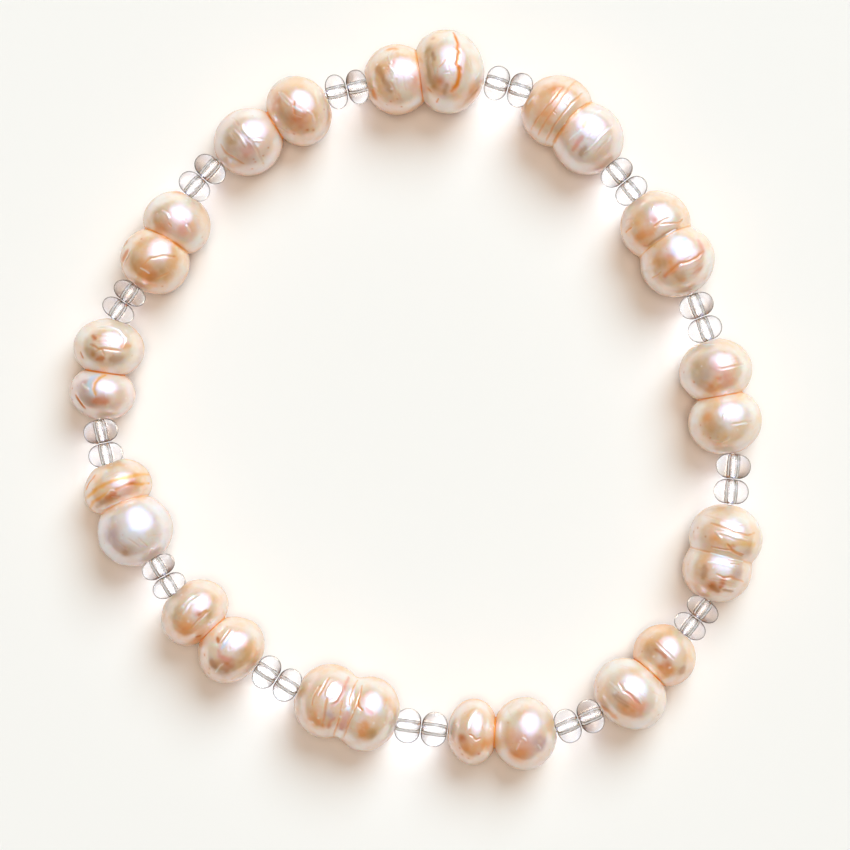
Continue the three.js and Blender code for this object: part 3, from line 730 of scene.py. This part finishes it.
# ---------------- marks on a pearl
class MarkLayer:
    """What the marks add up to at each point: a height in metres and a covering colour."""

    def __init__(self, points, plan, normals, seed):
        self.points = points
        self.plan = plan
        self.upper = normals[:, 2] > UPPER_SLOPE
        self.relief = smooth_step((np.abs(plan[:, 2]) - RELIEF_START) / RELIEF_RISE)
        self.height = np.zeros(len(points))
        self.color = np.zeros((len(points), 3))
        self.cover = np.zeros(len(points))
        stray = [noise(points / WANDER_SCALE, seed + k) for k in range(3)]
        self.wandered = points + MARK_WANDER * np.stack(stray, axis=1)
        self.patchy = noise(points / PATCHY_SCALE, seed + 5)
        self.ragged = noise(points / RAGGED_SCALE, seed + 6)

    def lift(self, u, v, top):
        """The point of the surface above or below a place in the plan."""
        side = np.flatnonzero(self.upper == top)
        apart = (self.plan[side, 0] - u) ** 2 + (self.plan[side, 1] - v) ** 2
        return self.wandered[side[np.argmin(apart)]]

    def paint(self, mask, style):
        cover = np.clip(mask, 0, 1) * style.cover
        total = cover + self.cover * (1 - cover)
        share = np.where(total > 0, cover / np.maximum(total, 1e-9), 0)[:, None]
        self.color = self.color * (1 - share) + np.array(style.tint) * share
        self.cover = total

    def carve(self, where, offset, style, strength):
        """offset is the distance from the mark's middle over its half width."""
        profile = (1 - 2 * style.lip * offset**2) * np.exp(-(offset**2))
        self.height[where] -= style.depth * MM * profile * strength * self.relief[where]

    def spot(self, style, radius, place, top):
        middle = self.lift(*place, top)
        offset = np.linalg.norm(self.wandered - middle, axis=1) / (radius * MM)
        near = offset < SPOT_REACH
        if radius > LARGE_SPOT:
            offset = offset * (1 + RAGGEDNESS * self.ragged)
        mask = np.exp(-(offset**2) * 0.9) * (0.85 + 0.35 * self.patchy) * near
        self.paint(mask, style)
        self.carve(slice(None), offset, style, near)

    def route(self, places, top):
        """Points of the surface along the straight stretches between the places."""
        stops = []
        for (u0, v0), (u1, v1) in zip(places, places[1:]):
            steps = max(1, round(math.hypot(u1 - u0, v1 - v0) / MARK_STEP))
            stops += [(u0 + (u1 - u0) * k / steps, v0 + (v1 - v0) * k / steps)
                      for k in range(steps)]
        stops.append(places[-1])
        return np.array([self.lift(u, v, top) for u, v in stops])

    def line(self, style, width, places, top):
        route = self.route(places, top)
        reach = LINE_REACH * width * MM
        low, high = route.min(axis=0) - reach, route.max(axis=0) + reach
        near = np.flatnonzero(np.all((self.wandered > low) & (self.wandered < high), axis=1))
        points = self.wandered[near]
        closest = np.full(len(near), 1.0)
        place_on = np.zeros(len(near))
        for k, (start, end) in enumerate(zip(route, route[1:])):
            run = end - start
            t = np.clip((points - start) @ run / max(run @ run, 1e-12), 0, 1)
            apart = np.linalg.norm(points - start - t[:, None] * run, axis=1)
            nearer = apart < closest
            closest = np.where(nearer, apart, closest)
            place_on = np.where(nearer, (k + t) / (len(route) - 1), place_on)
        taper = smooth_step(np.minimum(place_on, 1 - place_on) * 6 + 0.4)
        swell = 1 + RAGGEDNESS * self.ragged[near]
        offset = closest / (MARK_SPREAD * width * MM * np.maximum(taper, LINE_THINNEST) * swell)
        mask = np.zeros(len(self.points))
        mask[near] = np.exp(-(offset**2)) * (1.1 + 0.3 * self.patchy[near])
        self.paint(mask, style)
        self.carve(near, offset, style, taper)

    def mark(self, name, size, places, top):
        style = STYLES[name]
        if name in SOFT:
            size = size * SOFT_SPREAD
        if name in SEPARATE or len(places) == 1:
            for place in places:
                self.spot(style, size, place, top)
        else:
            self.line(style, size, places, top)


def underside(places):
    """A mark's run on the lower side: the same mark, turned half round the drilled line."""
    return [(u, -v) for u, v in places]


def scattered_marks(shape, seed):
    """Small scratches, specks and pits that every pearl has, and tiny raised dots with a painted
    glint, on both of its sides.
    """
    random = np.random.default_rng(seed)
    reach = [(lobe["centre"] @ shape.along - shape.waist) / MM for lobe in shape.lobes]
    marks = []
    for count, name, least, most in SCATTERED:
        for _ in range(count):
            lobe = random.integers(2)
            turn = random.uniform(0, 2 * math.pi)
            far = SCATTER_RADIUS * math.sqrt(random.uniform(0.02, 1))
            u = reach[lobe] + far * math.cos(turn) * SCATTER_ALONG
            v = far * math.sin(turn)
            places = [(u, v)]
            if name not in SEPARATE:
                long = random.uniform(*SCATTER_LENGTHS)
                lean = random.normal(0, SCATTER_LEAN)
                places = [(u - long * math.sin(lean), v - long * math.cos(lean)), (u, v)]
            marks.append((name, random.uniform(least, most), places, random.random() < 0.5))
    return marks


def mark_waist(layer, strength, from_waist):
    """The orange line where the lobes meet, and the warm glow on both sides of it."""
    glow = np.exp(-((from_waist / WAIST_GLOW_WIDTH) ** 2)) * (0.20 + 0.12 * layer.patchy)
    layer.paint(glow * strength, STYLES["waist"])
    offset = from_waist / (WAIST_LINE_WIDTH * (1 + 0.35 * layer.ragged))
    line = np.exp(-(offset**2)) * strength
    layer.paint(line, STYLES["waist"])
    layer.height -= WAIST_LINE_DEPTH * line


def stain_hole(layer, seat):
    """The darker ring that drilled pearls have round their holes."""
    offset = layer.points - seat["point"]
    sideways = np.linalg.norm(np.cross(offset, seat["outward"]), axis=1)
    near = offset @ seat["outward"] > -HOLE_STAIN_DEPTH
    ring = np.exp(-(((sideways - HOLE_STAIN_RADIUS) / HOLE_STAIN_WIDTH) ** 2))
    layer.paint(ring * near * (0.8 + 0.4 * layer.patchy), STYLES["orange"])


def mark_pearl(layer, shape, row, from_waist, seed):
    mark_waist(layer, row.waist, from_waist)
    for name, size, places in read_marks(row.marks):
        layer.mark(name, size, places, True)
        layer.mark(name, size, underside(places), False)
    for name, size, places, top in scattered_marks(shape, seed):
        layer.mark(name, size, places, top)
    for seat in shape.seats:
        stain_hole(layer, seat)


def wrinkles(plan, seed):
    """Heights in mm of fine ridges round the upper side of the pearl, in places."""
    ridged = 1 - 2 * np.abs(noise(plan / RIDGE_SPACING, seed))
    fine = noise(plan / FINE_SPACING, seed + 1)
    place = smooth_step(noise(plan / PLACE_SPACING, seed + 2) * 1.2 + 0.35)
    wavy = noise(plan / WAVE_SPACING, seed - 1)
    height = RIDGE_HEIGHT * ridged * place + FINE_HEIGHT * fine * place + WAVE_HEIGHT * wavy
    return height * smooth_step(plan[:, 2] - 1)


# ---------------- meshes from grids
def closed_grid_mesh(name, points):
    """A mesh of a grid that closes on itself both ways, so it has no edge."""
    rows, columns = points.shape[:2]
    index = np.arange(rows * columns).reshape(rows, columns)
    below = np.roll(index, -1, axis=0)
    faces = [index, np.roll(index, -1, axis=1), np.roll(below, -1, axis=1), below]
    faces = np.stack(faces, axis=-1).reshape(-1, 4)
    flat = points.reshape(-1, 3)
    a, b, c, d = (flat[faces[:, i]] for i in range(4))
    volume = np.sum(np.cross(b - a, c - a) * a) + np.sum(np.cross(c - a, d - a) * a)
    if volume < 0:
        faces = faces[:, ::-1]
    mesh = bpy.data.meshes.new(name)
    mesh.vertices.add(len(flat))
    mesh.vertices.foreach_set("co", flat.ravel())
    mesh.loops.add(faces.size)
    mesh.loops.foreach_set("vertex_index", faces.ravel())
    mesh.polygons.add(len(faces))
    mesh.polygons.foreach_set("loop_start", np.arange(0, faces.size, 4))
    mesh.polygons.foreach_set("use_smooth", np.ones(len(faces), bool))
    mesh.update(calc_edges=True)
    mesh.validate()
    return mesh


def add_object(name, data):
    thing = bpy.data.objects.new(name, data)
    bpy.context.scene.collection.objects.link(thing)
    return thing


def add_piece(name, mesh, material, node):
    piece = add_object(name, mesh)
    mesh.materials.append(material)
    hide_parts(node)
    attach(piece, "root")


def set_attribute(mesh, name, kind, field, values):
    attribute = mesh.attributes.new(name, kind, "POINT")
    attribute.data.foreach_set(field, np.ascontiguousarray(values, dtype=np.float32).ravel())


# ---------------- materials
def new_material(name):
    material = bpy.data.materials.new(name)
    material.use_nodes = True
    tree = material.node_tree
    tree.nodes.clear()
    return material, tree


def add_node(tree, kind, inputs, **settings):
    """A node with these settings, each input set to a value or fed by another node's output.

    An input goes by its name, or by its number where names repeat.
    """
    node = tree.nodes.new(kind)
    for name, value in settings.items():
        setattr(node, name, value)
    for name, value in inputs.items():
        if isinstance(value, bpy.types.NodeSocket):
            tree.links.new(value, node.inputs[name])
        else:
            node.inputs[name].default_value = value
    return node


def add_noise(tree, vector, scale, detail, seed):
    values = {"Vector": vector, "W": seed, "Scale": scale, "Detail": detail}
    return add_node(tree, "ShaderNodeTexNoise", values, noise_dimensions="4D").outputs["Fac"]


def ramp(tree, value, stops):
    node = add_node(tree, "ShaderNodeValToRGB", {"Fac": value})
    elements = node.color_ramp.elements
    for position, _ in stops[2:]:
        elements.new(position)
    for element, (position, color) in zip(elements, stops):
        element.position = position
        element.color = (*color, 1)
    return node.outputs["Color"]


def mix_colors(tree, factor, a, b):
    values = {"Factor": factor, "A": a, "B": b}
    return add_node(tree, "ShaderNodeMix", values, data_type="RGBA").outputs["Result"]


def mix_shaders(tree, factor, a, b):
    return add_node(tree, "ShaderNodeMixShader", {"Fac": factor, 1: a, 2: b}).outputs["Shader"]


def map_range(tree, value, source, target):
    values = {"Value": value, "From Min": source[0], "From Max": source[1],
              "To Min": target[0], "To Max": target[1]}
    return add_node(tree, "ShaderNodeMapRange", values).outputs["Result"]


# Painted shade and warm glow: low down on a pearl the base colour, and with it the tint of its
# reflections,
# goes towards this orange: from 1.6 mm above the pearl's middle, and by the whole share from 0.8
# mm below it.
UNDERSIDE_SHADE_COLOR = (0.94, 0.45, 0.18, 1)
UNDERSIDE_SHADE_SHARE = 0.75
UNDERSIDE_SHADE_HEIGHTS = (1.6, -0.8)
# The sheen's tints, which change over the pearl as its layers do.
SHEEN = ((0.34, (0.92, 0.90, 0.98)), (0.66, (0.88, 0.92, 1.0)))
NACRE = {
    "IOR": 2.3, "Specular IOR Level": 1.0, "Subsurface Weight": 0.7,
    "Subsurface Radius": (1.0, 0.5, 0.25), "Subsurface Scale": 1.6 * MM,
    "Coat Weight": 0.35, "Coat Roughness": 0.07, "Coat IOR": 1.6,
}


def nacre(name, tones, seed):
    """Clouded nacre: two tones on each lobe, with painted orange shade low down, under the drawn
    marks.
    """
    material, tree = new_material(name)
    place = add_node(tree, "ShaderNodeAttribute", {}, attribute_name="lay").outputs["Vector"]
    marks = add_node(tree, "ShaderNodeAttribute", {}, attribute_name="marks").outputs
    parts = add_node(tree, "ShaderNodeSeparateXYZ", {"Vector": place}).outputs

    cloud = add_noise(tree, place, scale=0.45, detail=4, seed=seed)
    lobes = [ramp(tree, cloud, ((0.36, deep), (0.62, pale))) for pale, deep in tones]
    second_lobe = map_range(tree, parts["X"], (-0.5, 0.5), (0, 1))
    # Painted shade: the lower sides of each pearl are made deeper orange, for the shade and warm
    # glow there.
    underside_shade = map_range(tree, parts["Z"], UNDERSIDE_SHADE_HEIGHTS, (0, UNDERSIDE_SHADE_SHARE))
    base = mix_colors(tree, second_lobe, *lobes)
    base = mix_colors(tree, underside_shade, base, UNDERSIDE_SHADE_COLOR)
    base = mix_colors(tree, marks["Alpha"], base, marks["Color"])

    layers = add_node(tree, "ShaderNodeVectorMath", {0: place, 1: (0.9, 0.35, 0.35)},
                      operation="MULTIPLY").outputs["Vector"]
    growth = add_noise(tree, layers, scale=1.0, detail=1, seed=seed + 3)
    grain = add_noise(tree, place, scale=1.6, detail=1, seed=seed + 5)
    normal = add_node(tree, "ShaderNodeBump", {
        "Strength": 0.30, "Distance": 0.03 * MM, "Height": growth}).outputs["Normal"]
    normal = add_node(tree, "ShaderNodeBump", {
        "Strength": 0.20, "Distance": 0.01 * MM, "Height": grain,
        "Normal": normal}).outputs["Normal"]

    sheen = ramp(tree, add_noise(tree, place, scale=0.38, detail=2, seed=seed + 8), SHEEN)
    tinted = map_range(tree, marks["Alpha"], (0, 1), (0.05, 0.92))
    shine = mix_colors(tree, underside_shade, mix_colors(tree, tinted, sheen, base), base)
    shader = add_node(tree, "ShaderNodeBsdfPrincipled", {
        **NACRE, "Base Color": base, "Specular Tint": shine, "Normal": normal,
        "Roughness": map_range(tree, growth, (0.3, 0.7), (0.17, 0.24))})
    add_node(tree, "ShaderNodeOutputMaterial", {"Surface": shader.outputs["BSDF"]})
    return material


def clear_glass(name, dim_from, dim_to, dim):
    """Clear glass, with a painted dark edge: dim where it is seen edge on.

    Its shadow lets part of the light through, and the rougher pearls mirror it faintly.
    """
    material, tree = new_material(name)
    facing = add_node(tree, "ShaderNodeLayerWeight", {}).outputs["Facing"]
    tint = ramp(tree, facing, ((dim_from, (0.98, 0.98, 0.98)), (dim_to, dim)))
    glass = add_node(tree, "ShaderNodeBsdfGlass", {"Color": tint, "IOR": 1.5, "Roughness": 0.0})
    shadow = add_node(tree, "ShaderNodeBsdfTransparent", {"Color": (0.78, 0.77, 0.76, 1)})
    faint = add_node(tree, "ShaderNodeBsdfTransparent", {"Color": (0.93, 0.92, 0.91, 1)})
    glass, shadow, faint = (node.outputs["BSDF"] for node in (glass, shadow, faint))
    ray = add_node(tree, "ShaderNodeLightPath", {}).outputs
    seen = mix_shaders(tree, ray["Is Shadow Ray"], glass, shadow)
    mirrored = mix_shaders(tree, ray["Is Singular Ray"], faint, glass)
    surface = mix_shaders(tree, ray["Is Glossy Ray"], seen, mirrored)
    add_node(tree, "ShaderNodeOutputMaterial", {"Surface": surface})
    return material


def clear_elastic():
    material, tree = new_material("clear_elastic")
    place = add_node(tree, "ShaderNodeTexCoord", {}).outputs["Object"]
    milky = add_noise(tree, place, scale=400.0, detail=2, seed=1.0)
    tint = ramp(tree, milky, ((0.3, (0.98, 0.98, 0.98)), (0.7, (1.0, 1.0, 1.0))))
    shader = add_node(tree, "ShaderNodeBsdfPrincipled", {
        "Base Color": tint, "Roughness": 0.0, "IOR": 1.45, "Transmission Weight": 1.0})
    add_node(tree, "ShaderNodeOutputMaterial", {"Surface": shader.outputs["BSDF"]})
    return material


def floor_material():
    material, tree = new_material("pale_floor")
    shader = add_node(tree, "ShaderNodeBsdfPrincipled", {
        "Base Color": (0.90, 0.90, 0.89, 1), "Roughness": 0.9, "Specular IOR Level": 0.0})
    add_node(tree, "ShaderNodeOutputMaterial", {"Surface": shader.outputs["BSDF"]})
    return material


# ---------------- the pieces
def build_pearl(shape, number):
    row = PEARLS[number]
    seed = 20 * number
    points, phi, from_waist = pearl_grid(shape, row.blend * MM)
    points = bow_waist(points, shape, row.bow)
    normals = grid_normals(points)
    flat = points.reshape(-1, 3)
    plan = shape.plan(flat)
    layer = MarkLayer(flat, plan, normals.reshape(-1, 3), seed)
    mark_pearl(layer, shape, row, from_waist.reshape(-1), seed)
    swell = noise(flat / SWELL_SCALE, seed + 11) * SWELL_HEIGHT
    height = layer.height + swell + row.wrinkle * wrinkles(plan, seed + 13) * MM
    points = points + normals * height.reshape(points.shape[:2])[..., None]
    for seat in shape.seats:
        points = press_seat(points, seat)
    points = round_hole_rims(points, phi, shape)
    points[..., 2] = np.maximum(points[..., 2], cad_box[0].z)
    rings_in_bore = (0.05, 0.5, 0.95)
    bore = [points[-1] * (1 - t) + points[0] * t for t in rings_in_bore]
    whole = np.concatenate([points, np.array(bore)])
    mesh = closed_grid_mesh(f"{shape.node}_nacre", whole)

    marks = np.zeros((*whole.shape[:2], 4))
    marks[:len(points), :, :3] = layer.color.reshape(points.shape)
    marks[:len(points), :, 3] = layer.cover.reshape(points.shape[:2])
    set_attribute(mesh, "lay", "FLOAT_VECTOR", "vector", shape.plan(whole.reshape(-1, 3)))
    set_attribute(mesh, "marks", "FLOAT_COLOR", "color", marks)
    tones = [TONES[tone] for tone in row.tones]
    material = nacre(f"nacre_{number:02d}", tones, number * 3.1)
    add_piece(f"{shape.node}_nacre", mesh, material, shape.node)


def build_glass(bead, outside, wall):
    """A ring turned about the thread, whose outside is one round swell from hole to hole."""
    foot = bead.hole_radius + GLASS_RIM
    power = 2 / GLASS_ROUNDING
    profile = []
    for angle in np.linspace(-math.pi / 2, math.pi / 2, GLASS_PROFILE_POINTS):
        out = max(math.cos(angle), 0.0) ** power
        height = math.copysign(abs(math.sin(angle)) ** power, angle)
        profile.append((foot + (bead.radius - foot) * out, bead.half * height))
    for share in (1.0, 0.4, -0.4, -1.0):
        profile.append((bead.hole_radius, (bead.half - GLASS_RIM) * share))
    radius, height = np.array(profile).T
    side = unit(np.cross(UP, bead.direction))
    turn = np.linspace(0, 2 * math.pi, GLASS_RING_POINTS, endpoint=False)
    circle = np.cos(turn)[:, None] * UP + np.sin(turn)[:, None] * side
    points = (bead.centre + height[:, None, None] * bead.direction
              + radius[:, None, None] * circle[None, :, :])
    mesh = closed_grid_mesh(f"{bead.node}_clear", points)
    rows = np.arange(len(mesh.polygons)) // GLASS_RING_POINTS
    in_hole = (rows >= GLASS_PROFILE_POINTS) & (rows < len(points) - 1)
    mesh.polygons.foreach_set("material_index", in_hole.astype(np.int32))
    add_piece(f"{bead.node}_clear", mesh, outside, bead.node)
    mesh.materials.append(wall)


def build_thread(pairs):
    """One closed tube through every hole, straight in each bead and eased between them."""
    stops = []
    for first, second in pairs:
        stops.append(first.centre - first.direction * first.half)
        stops.append(second.centre + second.direction * second.half)
    stops = np.array(stops)
    runs = np.roll(stops, -1, axis=0) - stops
    route = []
    for start, run in zip(stops, runs):
        steps = round(np.linalg.norm(run) / THREAD_STEP)
        route += [start + run * k / steps for k in range(steps)]
    route = np.array(route)
    for _ in range(THREAD_EASING):
        route = (np.roll(route, 1, axis=0) + 2 * route + np.roll(route, -1, axis=0)) / 4
    tangent = np.roll(route, -1, axis=0) - np.roll(route, 1, axis=0)
    tangent /= np.linalg.norm(tangent, axis=1, keepdims=True)
    side = np.cross(UP, tangent)
    side /= np.linalg.norm(side, axis=1, keepdims=True)
    up = np.cross(tangent, side)
    turn = np.linspace(0, 2 * math.pi, THREAD_SIDES, endpoint=False)
    turn = turn[None, :, None]
    ring = np.cos(turn) * up[:, None, :] + np.sin(turn) * side[:, None, :]
    mesh = closed_grid_mesh("clear_thread", route[:, None, :] + THREAD_RADIUS * ring)
    add_piece("clear_thread", mesh, clear_elastic(), "elastic_thread")


pairs = [glass_pair(number) for number in range(1, PEARL_COUNT + 1)]
for number in range(1, PEARL_COUNT + 1):
    build_pearl(pearl_between(number, pairs[number - 2][1], pairs[number - 1][0]), number)
# How far from facing the camera glass starts to dim and is dimmest, and its colour there.
glass_outside = clear_glass("clear_glass", 0.64, 0.86, (0.12, 0.10, 0.09))
glass_wall = clear_glass("clear_glass_hole", 0.20, 0.70, (0.34, 0.31, 0.30))
for pair in pairs:
    for bead in pair:
        build_glass(bead, glass_outside, glass_wall)
build_thread(pairs)

# ---------------- floor, lights and camera
FLOOR_HALF = 1.5
FLOOR_DROP = 0.02 * MM       # below the lowest point of the anklet
low, high = cad_box
centre = (low + high) / 2

floor_mesh = bpy.data.meshes.new("floor")
corners = [(x * FLOOR_HALF, y * FLOOR_HALF, 0) for x, y in ((-1, -1), (1, -1), (1, 1), (-1, 1))]
floor_mesh.from_pydata(corners, [], [(0, 1, 2, 3)])
floor = add_object("floor", floor_mesh)
floor.location = (centre.x, centre.y, low.z - FLOOR_DROP)
floor_mesh.materials.append(floor_material())

# The round lamps: degrees from above and from +X, distance and size in metres, watts,
# colour, and whether they light surfaces ("diffuse") or shine back from them ("glossy").
# The key lights the scene. What shines back from the pearls is a diffuser in the same
# place: a bright core in a panel, with a wide, cooler glow. The top lamp fills the
# shadows, and the fill warms the pearls' shaded sides.
LAMPS = (
    ("key", 41, 63, 6.0, 4.4, 350.0, (0.76, 0.90, 0.97), "diffuse"),
    ("core", 41, 63, 5.2, 3.8, 70.0, (0.95, 0.97, 1.0), "glossy"),
    ("panel", 41, 63, 5.5, 6.2, 66.0, (0.90, 0.95, 1.0), "glossy"),
    ("glow", 41, 63, 5.8, 9.6, 340.0, (0.42, 0.54, 1.0), "glossy"),
    ("top", 0, 0, 5.0, 2.2, 117.0, (1.0, 0.82, 0.66), "diffuse"),
    ("fill", 72, 243, 6.0, 2.2, 14.0, (1.0, 0.60, 0.30), "diffuse"),
)


def add_lamp(name, zenith, turn, distance, size, power, color, use):
    """A round lamp that faces the middle of the anklet."""
    data = bpy.data.lights.new(name, "AREA")
    data.shape = "DISK"
    data.size = size
    data.energy = power
    data.color = color
    lamp = add_object(name, data)
    zenith, turn = math.radians(zenith), math.radians(turn)
    level = math.sin(zenith)
    toward = Vector((level * math.cos(turn), level * math.sin(turn), math.cos(zenith)))
    lamp.location = centre + toward * distance
    lamp.rotation_mode = "QUATERNION"
    lamp.rotation_quaternion = toward.to_track_quat("Z", "Y")
    lamp.visible_diffuse = use == "diffuse"
    lamp.visible_glossy = use == "glossy"


for lamp in LAMPS:
    add_lamp(*lamp)

# The room by height, 0 at the horizon and 1 overhead: what lights the scene a little,
# and what the pearls mirror.
ROOM_LIGHT = ((0.02, (0.40, 0.37, 0.34)), (0.15, (0.075, 0.065, 0.06)))
ROOM_MIRRORED = ((0.0, (0.55, 0.50, 0.45)), (0.14, (0.21, 0.13, 0.07)),
                 (0.55, (0.20, 0.11, 0.04)), (0.95, (0.15, 0.28, 0.45)))
world = bpy.data.worlds.new("studio")
world.use_nodes = True
tree = world.node_tree
direction = add_node(tree, "ShaderNodeTexCoord", {}).outputs["Generated"]
height = add_node(tree, "ShaderNodeSeparateXYZ", {"Vector": direction}).outputs["Z"]
mirrored = add_node(tree, "ShaderNodeLightPath", {}).outputs["Is Glossy Ray"]
sky = mix_colors(tree, mirrored, ramp(tree, height, ROOM_LIGHT), ramp(tree, height, ROOM_MIRRORED))
tree.links.new(sky, tree.nodes["Background"].inputs["Color"])
bpy.context.scene.world = world

FRAME_WIDTH = 102 * MM       # what the photo shows from side to side
CAMERA_OFFSET = Vector((1.1 * MM, -3.0 * MM, 0))
camera_data = bpy.data.cameras.new("camera")
camera_data.lens = 180
camera_data.sensor_width = 36
camera_data.clip_start = 0.01
camera_data.clip_end = 10
camera = add_object("camera", camera_data)
camera_height = FRAME_WIDTH * camera_data.lens / camera_data.sensor_width
camera.location = centre + CAMERA_OFFSET + Vector((0, 0, camera_height))
bpy.context.scene.camera = camera
bpy.context.scene.view_settings.view_transform = "Standard"
